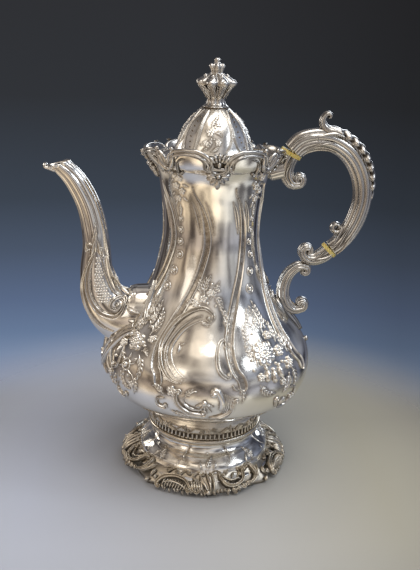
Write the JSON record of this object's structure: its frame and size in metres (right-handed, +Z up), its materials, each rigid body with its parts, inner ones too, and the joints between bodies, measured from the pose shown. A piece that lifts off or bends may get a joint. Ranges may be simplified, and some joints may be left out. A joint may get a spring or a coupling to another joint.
{
  "type": "coffee pot",
  "caption": "Pear-shaped silver coffee pot on a domed foot, with a swan-neck spout, a scroll handle with insulating rings and a hinged domed lid with a finial.",
  "frame": {"origin": "centre of the foot's base ring, on the surface that the pot stands on", "axes": "+Z up along the pot's axis, spout towards -X, handle towards +X, front towards -Y"},
  "size_m": [0.2157, 0.141, 0.28],
  "materials": {
    "silver_sheet": "raised and chased silver, polished, with warm tarnish in the recesses",
    "silver_cast": "cast silver ornament, polished on the high parts and dark in the recesses",
    "silver_plain": "plain silver, filed and lightly polished",
    "ivory": "yellowed ivory, satin, with a fine grain"
  },
  "bodies": {
    "pot": {"foot_ring": "silver_plain", "foot_border": "silver_cast", "foot_dome": "silver_sheet", "foot_collar": "silver_cast", "body_shell": "silver_sheet", "seat_ring": "silver_plain", "rim_border": "silver_cast", "rim_shell_front": "silver_cast", "rim_shell_back": "silver_cast", "rim_shell_spout": "silver_cast", "rim_shell_handle": "silver_cast", "spout_half_front": "silver_cast", "spout_half_back": "silver_cast", "spout_base_mount": "silver_cast", "spout_lip": "silver_cast", "spout_scroll_front": "silver_cast", "spout_scroll_back": "silver_cast", "handle_rim_bridge": "silver_cast", "handle_upper_socket": "silver_cast", "insulator_upper": "ivory", "dowels_upper": "silver_plain", "handle_grip": "silver_cast", "handle_leaf": "silver_cast", "insulator_lower": "ivory", "dowels_lower": "silver_plain", "handle_lower_socket": "silver_cast", "handle_bracket": "silver_cast", "hinge_leaf_body": "silver_plain", "hinge_pin": "silver_plain"},
    "lid": {"lid_flange": "silver_plain", "lid_bezel": "silver_plain", "lid_dome": "silver_sheet", "hinge_leaf_lid": "silver_plain", "finial_base": "silver_plain", "finial_cup": "silver_cast", "finial_crown": "silver_cast", "finial_stud": "silver_plain", "finial_nut": "silver_plain"}
  },
  "joints": [
    {"name": "lid_hinge", "type": "hinge", "parent": "pot", "child": "lid", "pos_m": [0.0304, 0, 0.2236], "axis": [0, 1, 0], "range_deg": [0, 75]}
  ]
}
